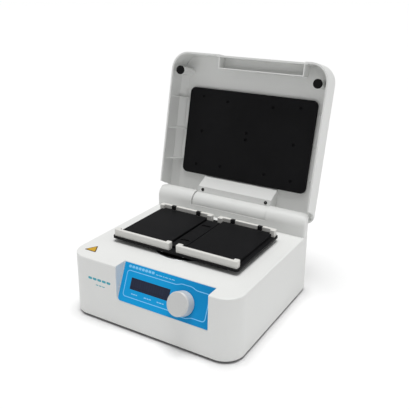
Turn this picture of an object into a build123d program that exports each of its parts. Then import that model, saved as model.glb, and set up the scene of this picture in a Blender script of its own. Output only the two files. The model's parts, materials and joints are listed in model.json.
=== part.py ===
from build123d import *
import os
from math import cos, hypot, radians, sin

# Two-bay microplate incubator shaker with a hinged, heated lid.
# Frame: +X to the right, +Y to the back, +Z up, in millimetres.
# The origin is on the table, under the middle of the instrument with its lid open.

os.makedirs("parts", exist_ok=True)

# ---------------------------------------------------------------- driving dimensions
WIDTH = 300.0  # housing, across its lower edge
DEPTH = 273.0  # housing, front to back
FRONT_Y = -168.6  # front face of the housing
FOOT_H = 3.5
PAN_T = 1.5  # steel bottom pan
DECK_Z = 105.7  # top deck of the housing
WALL = 3.0
DRAFT = 0.57  # degrees, moulding draft of the outer walls
FRONT_R = 32.0  # upright front corners
REAR_R = 14.0  # upright rear corners
DECK_EDGE_R = 2.0

HINGE_BACK = 267.0  # hinge axis behind the front face
HINGE_Z = 122.5
OPEN_ANGLE = 102.0  # lid angle from closed to the stop
RISER_R = 19.0  # rounded hinge riser, about the hinge axis
RISER_HALF = 148.5
HINGE_HALF = 73.8  # half length of the lid's hinge barrel
BARREL_R = 16.7
BARREL_GAP = 1.2  # open line round the barrel in its slot
SHAFT_R = 2.5
RUNNING = 0.05  # radial clearance of shafts in bushes and bearings

LID_HALF = 149.0
LID_LENGTH = 241.0  # rim, rear end to front
LID_HEIGHT = 46.0
LID_WALL = 3.0
LID_EDGE_R = 9.0
RIM = -16.0  # rim plane, measured from the hinge axis square to the lid
RIM_REAR = -25.3  # rear end of the rim, from the hinge axis along the lid
CEILING = 26.4  # inside face of the lid's top wall

PANEL_LEFT = -54.8  # sloping control panel
PANEL_RIGHT = 106.8
PANEL_FOOT_Z = 47.8
PANEL_BACK = 25.0  # how far the panel leans back at the deck
OVERLAY_T = 0.8
SCREEN_X = -0.5
SCREEN_S = 32.5
SCREEN_W = 70.4
SCREEN_H = 17.8
KNOB_X = 60.0
KNOB_S = 27.7
KNOB_R = 18.7
KNOB_H = 17.0
KNOB_GAP = 1.0

DRIVE_BACK = 131.0  # drive axis behind the front face
ORBIT_R = 1.0  # throw of the eccentric: a 2 mm orbit
OPENING_R = 62.0
IDLER_X = 40.0
MOTOR_X = 72.0
DRIVEN_R = 30.0
DRIVER_R = 10.0

BAY_CENTRE = 59.75  # plate bays left and right of the middle
BAR_W = 107.5
BAR_T = 5.5
BAR_FRONT_BACK = 72.0  # outer face of the front bars behind the front face
BAR_REAR_BACK = 213.5
PLATFORM_Z = 112.2
PLATFORM_T = 3.6
HEAT_T = 5.2
BAR_H = 11.5
EAR_W = 9.0
EAR_L = 5.0
CLIP_OFFSET = 25.5
CLIP_W = 7.0
CLIP_OUT = 3.0  # how far a spring clip stands into the bay
CLIP_D = 5.0
CLIP_ROOM = 0.3  # free space round a spring clip

# ---------------------------------------------------------------- derived positions
BODY_Z = FOOT_H + PAN_T
REAR_Y = FRONT_Y + DEPTH
MID_Y = FRONT_Y + DEPTH / 2
HINGE_Y = FRONT_Y + HINGE_BACK
DRIVE_Y = FRONT_Y + DRIVE_BACK
BAR_FRONT_Y = FRONT_Y + BAR_FRONT_BACK
BAR_REAR_Y = FRONT_Y + BAR_REAR_BACK
CARRIAGE_Y = (BAR_FRONT_Y + BAR_REAR_Y) / 2
PLATFORM_TOP = PLATFORM_Z + PLATFORM_T
HEAT_TOP = PLATFORM_TOP + HEAT_T
BAR_TOP = PLATFORM_TOP + BAR_H
RIM_FRONT = RIM_REAR - LID_LENGTH
LID_REAR = 3.0  # rear end of the lid's top wall, from the hinge axis
DECK_INSET = 1.0  # what the draft takes off each side at the deck

opening = radians(OPEN_ANGLE)
BODY_SIDE = Plane(origin=(0, 0, 0), x_dir=(0, 1, 0), z_dir=(1, 0, 0))
LID = Plane(origin=(0, HINGE_Y, HINGE_Z), x_dir=(1, 0, 0), z_dir=(0, sin(opening), cos(opening)))
LID_SIDE = Plane(origin=LID.origin, x_dir=LID.y_dir, z_dir=LID.x_dir)

panel_rise = DECK_Z - PANEL_FOOT_Z
PANEL_LENGTH = hypot(PANEL_BACK, panel_rise)
PANEL_W = PANEL_RIGHT - PANEL_LEFT
PANEL_MID = (PANEL_LEFT + PANEL_RIGHT) / 2
PANEL = Plane(
    origin=(0, FRONT_Y, PANEL_FOOT_Z),
    x_dir=(1, 0, 0),
    z_dir=(0, -panel_rise / PANEL_LENGTH, PANEL_BACK / PANEL_LENGTH),
)


def footprint(inset):
    """Plan outline of the housing, drawn in by an inset."""
    with BuildSketch() as outline:
        with Locations((0, MID_Y)):
            Rectangle(WIDTH - 2 * inset, DEPTH - 2 * inset)
        fillet(outline.vertices().group_by(Axis.Y)[0], FRONT_R - inset)
        fillet(outline.vertices().group_by(Axis.Y)[-1], REAR_R - inset)
    return outline.sketch


def lid_outline(inset, rear):
    """Plan outline of the lid in its own plane, up to a rear end."""
    front = RIM_FRONT + inset
    with BuildSketch() as outline:
        with Locations((0, (front + rear) / 2)):
            Rectangle(2 * (LID_HALF - inset), rear - front)
        fillet(outline.vertices().group_by(Axis.Y)[0], FRONT_R - inset)
        fillet(outline.vertices().group_by(Axis.Y)[-1], REAR_R - inset)
    return outline.sketch


def riser_profile(radius, rear, foot):
    """Side outline of the hinge riser: upright front, round top, flat back."""
    front = HINGE_Y - radius
    with BuildSketch() as outline:
        with Locations((HINGE_Y, HINGE_Z)):
            Circle(radius)
        with Locations((front, foot)):
            Rectangle(2 * radius, HINGE_Z - foot, align=(Align.MIN, Align.MIN))
        with Locations((front, foot)):
            Rectangle(rear - front, 100, align=(Align.MIN, Align.MIN), mode=Mode.INTERSECT)
    return outline.sketch


# ---------------------------------------------------------------- bottom pan and feet
PAN_LIP_T = 1.2
PAN_LIP_H = 6.0
SCREW_POSTS = [(x, y) for x in (-141.2, 141.2) for y in (FRONT_Y + 60, REAR_Y - 30)]
FOOT_SPOTS = [(x, y) for x in (-118.0, 118.0) for y in (FRONT_Y + 34, REAR_Y - 30)]

with BuildPart() as base_pan:
    with BuildSketch(Plane.XY.offset(FOOT_H)):
        add(footprint(1.2))
    extrude(amount=PAN_T)
    with BuildSketch(Plane.XY.offset(BODY_Z)):
        add(footprint(WALL + 0.4))
        add(footprint(WALL + 0.4 + PAN_LIP_T), mode=Mode.SUBTRACT)
    extrude(amount=PAN_LIP_H)
    with Locations([(x, y, BODY_Z + PAN_LIP_H / 2) for x, y in SCREW_POSTS]):
        Box(16, 16, PAN_LIP_H + 0.4, mode=Mode.SUBTRACT)
    with Locations([(x, y, FOOT_H) for x, y in SCREW_POSTS]):
        Cylinder(1.8, 4 * PAN_T, mode=Mode.SUBTRACT)
    with Locations([(x, DRIVE_Y, FOOT_H + PAN_T / 2) for x in range(-60, 61, 12)]):
        Box(4, 70, 2 * PAN_T, mode=Mode.SUBTRACT)
base_pan.part.label = "base_pan"
export_step(base_pan.part, "parts/base_pan.step")

with BuildPart() as feet:
    with BuildSketch():
        with Locations(FOOT_SPOTS):
            Circle(9.0)
    extrude(amount=FOOT_H)
    chamfer(feet.edges().group_by(Axis.Z)[0], 0.8)
feet.part.label = "feet"
export_step(feet.part, "parts/feet.step")

with BuildPart() as housing_screws:
    with Locations([(x, y, FOOT_H - 0.9) for x, y in SCREW_POSTS]):
        Cylinder(3.2, 1.8, align=(Align.CENTER, Align.CENTER, Align.CENTER))
    with Locations([(x, y, FOOT_H) for x, y in SCREW_POSTS]):
        Cylinder(1.5, 14.0, align=(Align.CENTER, Align.CENTER, Align.MIN))
housing_screws.part.label = "housing_screws"
export_step(housing_screws.part, "parts/housing_screws.step")

# ---------------------------------------------------------------- upper housing
HINGE_SLOT = HINGE_HALF + BARREL_GAP  # half length of the cut-out for the barrel
CHEEK_T = 3.5
BUSH_R = 4.0
BARREL_POCKET_R = BARREL_R + BARREL_GAP
RISER_CORNER_R = REAR_R - DECK_INSET - 0.5
SLOT_DROP = 1.7  # lower edge of the slot, under the hinge axis
POCKET_DROP = 18.0  # floor of the hinge pocket, under the hinge axis
REAR_OPENING_W = 224.0
REAR_OPENING_H = 58.0
REAR_OPENING_Z = 49.0

with BuildPart() as riser:
    with BuildSketch(BODY_SIDE):
        add(riser_profile(RISER_R, REAR_Y - DECK_INSET, DECK_Z - 1.0))
    extrude(amount=RISER_HALF, both=True)
    fillet(riser.edges().filter_by(Axis.Z).group_by(Axis.Y)[-1], RISER_CORNER_R)
    fillet(riser.edges().filter_by(Axis.Z).group_by(Axis.Y)[0], WALL)

with BuildPart() as housing_cavity:
    with BuildSketch(Plane.XY.offset(BODY_Z - 1.0)):
        add(footprint(WALL))
    extrude(amount=DECK_Z - WALL - BODY_Z + 1.0, taper=DRAFT)
    with BuildSketch(PANEL.offset(-WALL)):
        with Locations((PANEL_MID, PANEL_LENGTH / 2)):
            Rectangle(PANEL_W + 2 * WALL, PANEL_LENGTH + 40)
    extrude(amount=60, mode=Mode.SUBTRACT)

with BuildPart() as riser_cavity:
    for side in (-1, 1):
        inner = HINGE_SLOT + CHEEK_T
        length = RISER_HALF - WALL - inner
        with BuildSketch(BODY_SIDE.offset(side * (inner + length / 2))):
            add(riser_profile(RISER_R - WALL, REAR_Y - DECK_INSET - WALL, DECK_Z - WALL - 1.0))
        extrude(amount=length / 2, both=True)
    fillet(riser_cavity.edges().filter_by(Axis.Z).group_by(Axis.Y)[-1], RISER_CORNER_R - WALL)

with BuildPart() as upper_housing:
    with BuildSketch(Plane.XY.offset(BODY_Z)):
        add(footprint(0))
    extrude(amount=DECK_Z - BODY_Z, taper=DRAFT)
    fillet(upper_housing.faces().sort_by(Axis.Z)[-1].edges(), DECK_EDGE_R)
    add(riser.part)
    add(housing_cavity.part, mode=Mode.SUBTRACT)
    add(riser_cavity.part, mode=Mode.SUBTRACT)
    with BuildSketch(PANEL):  # wedge taken out above the control panel
        with Locations((PANEL_MID, PANEL_LENGTH / 2)):
            Rectangle(PANEL_W, PANEL_LENGTH + 40)
    extrude(amount=60, mode=Mode.SUBTRACT)
    with BuildSketch(PANEL):
        with Locations((SCREEN_X, SCREEN_S)):
            Rectangle(SCREEN_W - 4, SCREEN_H - 4)
        with Locations((KNOB_X, KNOB_S)):
            Circle(4.4)
    extrude(amount=-2 * WALL, mode=Mode.SUBTRACT)
    with BuildSketch(Plane.XY.offset(DECK_Z + 1)):
        with Locations((0, DRIVE_Y)):
            Circle(OPENING_R)
    extrude(amount=-2 * WALL, mode=Mode.SUBTRACT)
    with BuildSketch(BODY_SIDE):  # pocket and slot for the lid's hinge barrel
        with Locations((HINGE_Y, HINGE_Z)):
            Circle(BARREL_POCKET_R)
        with Locations((HINGE_Y - 30, HINGE_Z - SLOT_DROP)):
            Rectangle(60, 40, align=(Align.MIN, Align.MIN))
        with Locations((HINGE_Y - 6, HINGE_Z - POCKET_DROP)):
            Rectangle(30, 30, align=(Align.MIN, Align.MIN))
    extrude(amount=HINGE_SLOT, both=True, mode=Mode.SUBTRACT)
    with BuildSketch(BODY_SIDE):  # seats for the hinge bushes
        with Locations((HINGE_Y, HINGE_Z)):
            Circle(BUSH_R)
    extrude(amount=HINGE_SLOT + CHEEK_T + 1, both=True, mode=Mode.SUBTRACT)
    with Locations((0, REAR_Y, REAR_OPENING_Z)):
        Box(REAR_OPENING_W, 20, REAR_OPENING_H, mode=Mode.SUBTRACT)
    with Locations([(x, y, BODY_Z + 1.6) for x, y in SCREW_POSTS]):
        Cylinder(6.2, 40, align=(Align.CENTER, Align.CENTER, Align.MIN))
    with Locations([(x, y, BODY_Z + 1.6) for x, y in SCREW_POSTS]):
        Cylinder(1.6, 16, align=(Align.CENTER, Align.CENTER, Align.MIN), mode=Mode.SUBTRACT)
upper_housing.part.label = "upper_housing"
export_step(upper_housing.part, "parts/upper_housing.step")

with BuildPart() as opening_ring:
    with BuildSketch(Plane.XY.offset(DECK_Z - WALL)):
        with Locations((0, DRIVE_Y)):
            Circle(OPENING_R - 0.2)
            Circle(OPENING_R - 2.0, mode=Mode.SUBTRACT)
    extrude(amount=WALL)
    with BuildSketch(Plane.XY.offset(DECK_Z)):
        with Locations((0, DRIVE_Y)):
            Circle(OPENING_R + 3.0)
            Circle(OPENING_R - 2.0, mode=Mode.SUBTRACT)
    extrude(amount=0.8)
    fillet(opening_ring.edges().group_by(Axis.Z)[-1], 0.35)
opening_ring.part.label = "opening_ring"
export_step(opening_ring.part, "parts/opening_ring.step")

# ---------------------------------------------------------------- rear panel, inlet and switch
REAR_PLATE_Y = REAR_Y - WALL - 1.3  # outer face of the rear panel
REAR_PLATE_T = 2.0
INLET_X = -80.0
SWITCH_X = -32.0
REAR_SCREWS = [(x, z) for x in (-106.0, 106.0) for z in (REAR_OPENING_Z - 22, REAR_OPENING_Z + 22)]
BACK = Plane(origin=(0, REAR_PLATE_Y, REAR_OPENING_Z), x_dir=(-1, 0, 0), z_dir=(0, 1, 0))

with BuildPart() as rear_panel:
    with BuildSketch(BACK):
        Rectangle(REAR_OPENING_W + 12, REAR_OPENING_H + 12)
        with Locations((-INLET_X, 0)):
            Rectangle(28, 21, mode=Mode.SUBTRACT)
        with Locations((-SWITCH_X, 0)):
            Rectangle(20, 27, mode=Mode.SUBTRACT)
        with Locations([(-x, 0) for x in range(14, 95, 8)]):
            SlotOverall(34, 3.4, rotation=90, mode=Mode.SUBTRACT)
    extrude(amount=-REAR_PLATE_T)
rear_panel.part.label = "rear_panel"
export_step(rear_panel.part, "parts/rear_panel.step")

with BuildPart() as rear_panel_screws:
    with BuildSketch(BACK):
        with Locations([(-x, z - REAR_OPENING_Z) for x, z in REAR_SCREWS]):
            Circle(2.8)
    extrude(amount=1.6)
    fillet(rear_panel_screws.edges().group_by(Axis.Y)[-1], 0.7)
rear_panel_screws.part.label = "rear_panel_screws"
export_step(rear_panel_screws.part, "parts/rear_panel_screws.step")

with BuildPart() as power_inlet:
    with BuildSketch(BACK):
        with Locations((-INLET_X, 0)):
            RectangleRounded(48, 23, 3)
    extrude(amount=2.6)
    with BuildSketch(BACK):
        with Locations((-INLET_X, 0)):
            Rectangle(27, 20)
    extrude(amount=-22)
    with BuildSketch(BACK.offset(2.6)):
        with Locations((-INLET_X, 0)):
            RectangleRounded(24.2, 16.2, 2.5)
    extrude(amount=-19, mode=Mode.SUBTRACT)
    with BuildSketch(BACK.offset(2.6)):
        with Locations((-INLET_X - 20, 0), (-INLET_X + 20, 0)):
            Circle(1.7)
    extrude(amount=-2.6, mode=Mode.SUBTRACT)
power_inlet.part.label = "power_inlet"
export_step(power_inlet.part, "parts/power_inlet.step")

with BuildPart() as inlet_pins:
    with BuildSketch(BACK.offset(-16.4)):
        with Locations((-INLET_X - 7, -1.5), (-INLET_X, 2.5), (-INLET_X + 7, -1.5)):
            Rectangle(2, 4)
    extrude(amount=15)
inlet_pins.part.label = "inlet_pins"
export_step(inlet_pins.part, "parts/inlet_pins.step")

ROCKER_PIVOT = -2.0  # rocker pivot, from the outer face of the rear panel
ROCKER_TILT = 10.0
PIVOT_R = 1.5

with BuildPart() as switch_frame:
    with BuildSketch(BACK):
        with Locations((-SWITCH_X, 0)):
            RectangleRounded(23, 30, 1.5)
    extrude(amount=2.0)
    with BuildSketch(BACK):
        with Locations((-SWITCH_X, 0)):
            Rectangle(19, 26)
    extrude(amount=-18)
    with BuildSketch(BACK.offset(2.0)):
        with Locations((-SWITCH_X, 0)):
            Rectangle(16.4, 25)
    extrude(amount=-13, mode=Mode.SUBTRACT)
    with Locations(Plane(origin=(SWITCH_X, REAR_PLATE_Y + ROCKER_PIVOT, REAR_OPENING_Z), z_dir=(1, 0, 0))):
        Cylinder(PIVOT_R + RUNNING, 18, mode=Mode.SUBTRACT)
switch_frame.part.label = "switch_frame"
export_step(switch_frame.part, "parts/switch_frame.step")

ROCKER = Plane(
    origin=(SWITCH_X, REAR_PLATE_Y + ROCKER_PIVOT, REAR_OPENING_Z),
    x_dir=(0, cos(radians(ROCKER_TILT)), -sin(radians(ROCKER_TILT))),
    z_dir=(1, 0, 0),
)
with BuildPart() as switch_rocker:
    with BuildSketch(ROCKER):
        with BuildLine():
            Polyline((-4, -9), (4.6, -11), (2.6, 0), (4.6, 11), (-4, 9), close=True)
        make_face()
    extrude(amount=7.8, both=True)
    with BuildSketch(ROCKER):
        Circle(PIVOT_R)
    extrude(amount=8.6, both=True)
switch_rocker.part.label = "switch_rocker"
export_step(switch_rocker.part, "parts/switch_rocker.step")

# ---------------------------------------------------------------- control panel
OVERLAY_FOOT = 2.0
OVERLAY_HEAD = 1.0
OVERLAY_R = 5.0
OVERLAY_LEFT = PANEL_LEFT + 1.6
OVERLAY_W = PANEL_RIGHT - 0.4 - OVERLAY_LEFT
BOARD_DEPTH = 13.0  # control board behind the panel face
BOARD_T = 1.6
BOARD_SPOTS = [(x, y) for x in (PANEL_LEFT + 14, PANEL_RIGHT - 14) for y in (12.0, 50.0)]
SHAFT_OUT = 12.0  # encoder shaft, out of the panel face
SHAFT_IN = 7.6
ENCODER_R = 3.0
KNOB_BASE = OVERLAY_T + KNOB_GAP

with BuildPart() as panel_overlay:
    with BuildSketch(PANEL):
        with Locations((OVERLAY_LEFT, OVERLAY_FOOT)):
            overlay_length = PANEL_LENGTH - OVERLAY_FOOT - OVERLAY_HEAD
            Rectangle(OVERLAY_W, overlay_length, align=(Align.MIN, Align.MIN))
    extrude(amount=OVERLAY_T)
    upright = panel_overlay.edges().filter_by(Axis(PANEL.origin, PANEL.z_dir))
    fillet(upright.group_by(Axis.Z)[0].sort_by(Axis.X)[0], OVERLAY_R)
    with BuildSketch(PANEL):
        with Locations((SCREEN_X, SCREEN_S)):
            Rectangle(SCREEN_W + 0.2, SCREEN_H + 0.2)
        with Locations((KNOB_X, KNOB_S)):
            Circle(5.4)
    extrude(amount=OVERLAY_T, mode=Mode.SUBTRACT)
panel_overlay.part.label = "panel_overlay"
export_step(panel_overlay.part, "parts/panel_overlay.step")

with BuildPart() as display_window:
    with BuildSketch(PANEL):
        with Locations((SCREEN_X, SCREEN_S)):
            RectangleRounded(SCREEN_W, SCREEN_H, 0.8)
    extrude(amount=OVERLAY_T - 0.1)
display_window.part.label = "display_window"
export_step(display_window.part, "parts/display_window.step")

with BuildPart() as display_module:
    with BuildSketch(PANEL.offset(-WALL - 0.3)):
        with Locations((SCREEN_X, SCREEN_S)):
            Rectangle(SCREEN_W + 6, SCREEN_H + 8)
    extrude(amount=-7.5)
    chamfer(display_module.faces().sort_by(Axis(PANEL.origin, PANEL.z_dir))[-1].edges(), 0.8)
display_module.part.label = "display_module"
export_step(display_module.part, "parts/display_module.step")

with BuildPart() as control_board:
    with BuildSketch(PANEL.offset(-BOARD_DEPTH)):
        with Locations((PANEL_MID, 31)):
            Rectangle(PANEL_W - 18, 48)
        with Locations(BOARD_SPOTS):
            Circle(1.6, mode=Mode.SUBTRACT)
    extrude(amount=-BOARD_T)
    with BuildSketch(PANEL.offset(-BOARD_DEPTH - BOARD_T)):
        with Locations((-20, 18), (20, 22)):
            Rectangle(14, 14)
    extrude(amount=-2.2)
    with BuildSketch(PANEL.offset(-BOARD_DEPTH)):
        with Locations((-25, 12), (-1, 12), (21.5, 12)):
            Rectangle(6, 6)
    extrude(amount=3.6)
control_board.part.label = "control_board"
export_step(control_board.part, "parts/control_board.step")

with BuildPart() as board_standoffs:
    with BuildSketch(PANEL.offset(-WALL)):
        with Locations(BOARD_SPOTS):
            Circle(3.0)
    extrude(amount=WALL - BOARD_DEPTH)
board_standoffs.part.label = "board_standoffs"
export_step(board_standoffs.part, "parts/board_standoffs.step")

with BuildPart() as encoder_body:
    with BuildSketch(PANEL.offset(-BOARD_DEPTH)):
        with Locations((KNOB_X, KNOB_S)):
            Rectangle(13, 13)
    extrude(amount=7)
    with BuildSketch(PANEL.offset(-BOARD_DEPTH)):
        with Locations((KNOB_X, KNOB_S)):
            Circle(4.2)
    extrude(amount=BOARD_DEPTH + OVERLAY_T)
    with BuildSketch(PANEL.offset(-BOARD_DEPTH + 1)):
        with Locations((KNOB_X, KNOB_S)):
            Circle(ENCODER_R + RUNNING)
    extrude(amount=BOARD_DEPTH + 2, mode=Mode.SUBTRACT)
encoder_body.part.label = "encoder_body"
export_step(encoder_body.part, "parts/encoder_body.step")

with BuildPart() as encoder_plunger:
    with BuildSketch(PANEL.offset(-SHAFT_IN - 0.3)):
        with Locations((KNOB_X, KNOB_S)):
            Circle(ENCODER_R - 0.05)
    extrude(amount=-2.6)
encoder_plunger.part.label = "encoder_plunger"
export_step(encoder_plunger.part, "parts/encoder_plunger.step")

with BuildPart() as encoder_shaft:
    with BuildSketch(PANEL.offset(-SHAFT_IN)):
        with Locations((KNOB_X, KNOB_S)):
            Circle(ENCODER_R)
    extrude(amount=SHAFT_IN + SHAFT_OUT)
encoder_shaft.part.label = "encoder_shaft"
export_step(encoder_shaft.part, "parts/encoder_shaft.step")

KNOB_SIDE = Plane(
    origin=PANEL.from_local_coords((KNOB_X, KNOB_S, 0)),
    x_dir=(1, 0, 0),
    z_dir=-PANEL.y_dir,
)
with BuildPart() as knob:
    with BuildSketch(KNOB_SIDE):
        with BuildLine():
            Polyline(
                (ENCODER_R, SHAFT_OUT),
                (ENCODER_R, KNOB_BASE),
                (6.5, KNOB_BASE),
                (6.5, KNOB_BASE + KNOB_H - 3),
                (KNOB_R - 2.5, KNOB_BASE + KNOB_H - 3),
                (KNOB_R - 2.5, KNOB_BASE),
                (KNOB_R, KNOB_BASE),
                (KNOB_R - 0.6, KNOB_BASE + KNOB_H - 1.6),
                (KNOB_R - 2.2, KNOB_BASE + KNOB_H),
                (0, KNOB_BASE + KNOB_H),
                (0, SHAFT_OUT),
                close=True,
            )
        make_face()
    revolve(axis=Axis(KNOB_SIDE.origin, KNOB_SIDE.y_dir))
knob.part.label = "knob"
export_step(knob.part, "parts/knob.step")

# ---------------------------------------------------------------- orbital drive
PLATE_Z = 60.0
PLATE_T = 3.0
PLATE_TOP = PLATE_Z + PLATE_T
STANDOFFS = [(x, DRIVE_Y + y) for x in (-85.0, 85.0) for y in (-62.0, 62.0)]
SPINDLE_R = 6.0
BEARING_R = 14.0
BEARING_H = 8.0
HUB_TOP = PLATE_TOP + 27.0
WEIGHT_Z = HUB_TOP + 1.5
WEIGHT_T = 4.5
PIN_R = 4.0
PIN_FOOT = WEIGHT_Z + WEIGHT_T
PIN_TOP = 109.5
DISC_R = 52.0
DISC_Z = 100.0
PULLEY_Z = 48.0
PULLEY_H = 8.0
BELT_T = 1.5

with BuildPart() as drive_standoffs:
    with BuildSketch(Plane.XY.offset(BODY_Z)):
        with Locations(STANDOFFS):
            RegularPolygon(6.0, 6)
    extrude(amount=PLATE_Z - BODY_Z)
drive_standoffs.part.label = "drive_standoffs"
export_step(drive_standoffs.part, "parts/drive_standoffs.step")

with BuildPart() as drive_plate:
    with BuildSketch(Plane.XY.offset(PLATE_Z)):
        with Locations((0, DRIVE_Y)):
            RectangleRounded(196, 146, 10)
            Circle(12, mode=Mode.SUBTRACT)
        with Locations((MOTOR_X, DRIVE_Y)):
            Circle(11.4, mode=Mode.SUBTRACT)
        with Locations(STANDOFFS):
            Circle(2.2, mode=Mode.SUBTRACT)
    extrude(amount=PLATE_T)
drive_plate.part.label = "drive_plate"
export_step(drive_plate.part, "parts/drive_plate.step")

with BuildPart() as bearing_housing:
    with BuildSketch(Plane.XY.offset(PLATE_TOP)):
        with Locations((0, DRIVE_Y)):
            Circle(27)
            with PolarLocations(23, 4, start_angle=45):
                Circle(1.7, mode=Mode.SUBTRACT)
    extrude(amount=4)
    with BuildSketch(Plane.XY.offset(PLATE_TOP)):
        with Locations((0, DRIVE_Y)):
            Circle(19)
    extrude(amount=HUB_TOP - PLATE_TOP)
    with BuildSketch(Plane.XY.offset(PLATE_TOP)):
        with Locations((0, DRIVE_Y)):
            Circle(BEARING_R)
    extrude(amount=HUB_TOP - PLATE_TOP, mode=Mode.SUBTRACT)
bearing_housing.part.label = "bearing_housing"
export_step(bearing_housing.part, "parts/bearing_housing.step")

with BuildPart() as drive_bearings:
    for foot in (PLATE_TOP + 1, HUB_TOP - BEARING_H):
        with BuildSketch(Plane.XY.offset(foot)):
            with Locations((0, DRIVE_Y)):
                Circle(BEARING_R)
                Circle(SPINDLE_R, mode=Mode.SUBTRACT)
        extrude(amount=BEARING_H)
drive_bearings.part.label = "drive_bearings"
export_step(drive_bearings.part, "parts/drive_bearings.step")

with BuildPart() as eccentric_shaft:
    with BuildSketch(Plane.XY.offset(PULLEY_Z - 3)):
        with Locations((0, DRIVE_Y)):
            Circle(SPINDLE_R - RUNNING)
    extrude(amount=PIN_FOOT - PULLEY_Z + 3)
    with BuildSketch(Plane.XY.offset(PIN_FOOT)):
        with Locations((ORBIT_R, DRIVE_Y)):
            Circle(PIN_R)
    extrude(amount=PIN_TOP - PIN_FOOT)
eccentric_shaft.part.label = "eccentric_shaft"
export_step(eccentric_shaft.part, "parts/eccentric_shaft.step")

with BuildPart() as counterweight:
    with BuildSketch(Plane.XY.offset(WEIGHT_Z)):
        with Locations((0, DRIVE_Y)):
            Circle(24)
            Rectangle(30, 60, align=(Align.MIN, Align.CENTER), mode=Mode.SUBTRACT)
            Circle(11)
            Circle(SPINDLE_R - RUNNING, mode=Mode.SUBTRACT)
    extrude(amount=WEIGHT_T)
counterweight.part.label = "counterweight"
export_step(counterweight.part, "parts/counterweight.step")

with BuildPart() as driven_pulley:
    with BuildSketch(Plane.XY.offset(PULLEY_Z - 1)):
        with Locations((0, DRIVE_Y)):
            Circle(DRIVEN_R + 1.5)
    extrude(amount=PULLEY_H + 2)
    with BuildSketch(Plane.XY.offset(PULLEY_Z)):
        with Locations((0, DRIVE_Y)):
            Circle(DRIVEN_R + 2)
            Circle(DRIVEN_R, mode=Mode.SUBTRACT)
    extrude(amount=PULLEY_H, mode=Mode.SUBTRACT)
    with BuildSketch(Plane.XY.offset(PULLEY_Z - 1)):
        with Locations((0, DRIVE_Y)):
            Circle(SPINDLE_R - RUNNING)
            with PolarLocations(18, 6):
                Circle(5.5)
    extrude(amount=PULLEY_H + 2, mode=Mode.SUBTRACT)
driven_pulley.part.label = "driven_pulley"
export_step(driven_pulley.part, "parts/driven_pulley.step")

with BuildPart() as motor_body:
    with BuildSketch(Plane.XY.offset(PLATE_TOP)):
        with Locations((MOTOR_X, DRIVE_Y)):
            Rectangle(42, 42)
    extrude(amount=34)
    chamfer(motor_body.edges().filter_by(Axis.Z), 4)
    with BuildSketch(Plane.XY.offset(PLATE_Z + 0.5)):
        with Locations((MOTOR_X, DRIVE_Y)):
            Circle(11)
    extrude(amount=PLATE_T)
    with BuildSketch(Plane.XY.offset(PLATE_Z)):
        with Locations((MOTOR_X, DRIVE_Y)):
            Circle(SHAFT_R + RUNNING)
    extrude(amount=18, mode=Mode.SUBTRACT)
motor_body.part.label = "motor_body"
export_step(motor_body.part, "parts/motor_body.step")

with BuildPart() as motor_pulley:
    with BuildSketch(Plane.XY.offset(PULLEY_Z - 1)):
        with Locations((MOTOR_X, DRIVE_Y)):
            Circle(DRIVER_R + 1.5)
    extrude(amount=PULLEY_H + 2)
    with BuildSketch(Plane.XY.offset(PULLEY_Z)):
        with Locations((MOTOR_X, DRIVE_Y)):
            Circle(DRIVER_R + 2)
            Circle(DRIVER_R, mode=Mode.SUBTRACT)
    extrude(amount=PULLEY_H, mode=Mode.SUBTRACT)
    with BuildSketch(Plane.XY.offset(PULLEY_Z - 3)):
        with Locations((MOTOR_X, DRIVE_Y)):
            Circle(SHAFT_R)
    extrude(amount=PLATE_Z + 16 - PULLEY_Z)
motor_pulley.part.label = "motor_pulley"
export_step(motor_pulley.part, "parts/motor_pulley.step")

with BuildPart() as drive_belt:
    for grow, how in ((0.3 + BELT_T, Mode.ADD), (0.3, Mode.SUBTRACT)):
        with BuildSketch(Plane.XY.offset(PULLEY_Z + 1)):
            with Locations((0, DRIVE_Y)):
                Circle(DRIVEN_R + grow)
            with Locations((MOTOR_X, DRIVE_Y)):
                Circle(DRIVER_R + grow)
            make_hull()
        extrude(amount=PULLEY_H - 2, mode=how)
drive_belt.part.label = "drive_belt"
export_step(drive_belt.part, "parts/drive_belt.step")

with BuildPart() as idler_blocks:
    with BuildSketch(Plane.XY.offset(PLATE_TOP)):
        with Locations((-IDLER_X, DRIVE_Y), (IDLER_X, DRIVE_Y)):
            Circle(9)
    extrude(amount=HUB_TOP - PLATE_TOP)
    with BuildSketch(Plane.XY.offset(HUB_TOP)):
        with Locations((-IDLER_X, DRIVE_Y), (IDLER_X, DRIVE_Y)):
            Circle(PIN_R + RUNNING)
    extrude(amount=-22, mode=Mode.SUBTRACT)
idler_blocks.part.label = "idler_blocks"
export_step(idler_blocks.part, "parts/idler_blocks.step")


def idler_crank(x):
    """Short crank with a lower and an upper pin, the upper one set off by the orbit radius."""
    with BuildPart() as crank:
        with BuildSketch(Plane.XY.offset(HUB_TOP - 20)):
            with Locations((x, DRIVE_Y)):
                Circle(PIN_R)
        extrude(amount=WEIGHT_Z - HUB_TOP + 20)
        with BuildSketch(Plane.XY.offset(WEIGHT_Z)):
            with Locations((x + ORBIT_R / 2, DRIVE_Y)):
                Circle(7.5)
        extrude(amount=WEIGHT_T)
        with BuildSketch(Plane.XY.offset(PIN_FOOT)):
            with Locations((x + ORBIT_R, DRIVE_Y)):
                Circle(PIN_R)
        extrude(amount=PIN_TOP - PIN_FOOT)
    return crank


idler_crank_left = idler_crank(-IDLER_X)
idler_crank_left.part.label = "idler_crank_left"
export_step(idler_crank_left.part, "parts/idler_crank_left.step")

idler_crank_right = idler_crank(IDLER_X)
idler_crank_right.part.label = "idler_crank_right"
export_step(idler_crank_right.part, "parts/idler_crank_right.step")

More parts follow.
